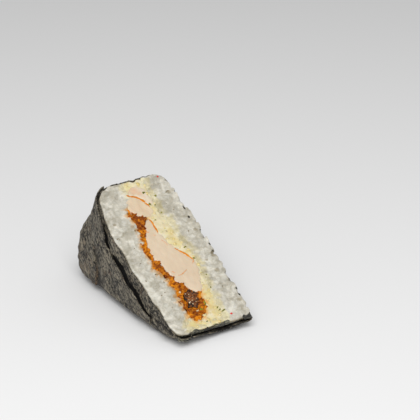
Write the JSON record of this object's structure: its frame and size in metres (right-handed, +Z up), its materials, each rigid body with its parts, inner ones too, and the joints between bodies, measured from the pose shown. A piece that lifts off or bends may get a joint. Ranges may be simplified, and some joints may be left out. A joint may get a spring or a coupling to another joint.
{
  "type": "onigiri rice ball",
  "caption": "Cut half of a seaweed-wrapped rice triangle with fried chicken, sauce crumbs and egg salad, lying on its slanted side with the cut face up.",
  "frame": {"origin": "centre of the footprint box, on the surface the half lies on", "axes": "+X through the thickness, +Y from the tip to the heel along the slanted side, +Z up"},
  "size_m": [0.04, 0.085, 0.0431],
  "materials": {
    "rice_white": "moist cooked rice, slightly see-through",
    "chicken_meat": "cut cooked chicken, smooth and slightly moist",
    "crumb_orange": "fried crumb soaked with orange sauce, granular",
    "sauce_dark": "dark granular sauce lump",
    "egg_yellow": "soft egg salad, moist",
    "seaweed_dry": "dry pressed seaweed, dull and fibrous"
  },
  "bodies": {
    "root": {"rice": "rice_white", "chicken_tip": "chicken_meat", "chicken_upper": "chicken_meat", "chicken_main": "chicken_meat", "crumb_coat": "crumb_orange", "sauce_lump": "sauce_dark", "egg_salad": "egg_yellow", "seaweed_wrap": "seaweed_dry", "seaweed_flap": "seaweed_dry", "seaweed_tuck": "seaweed_dry"}
  },
  "joints": []
}
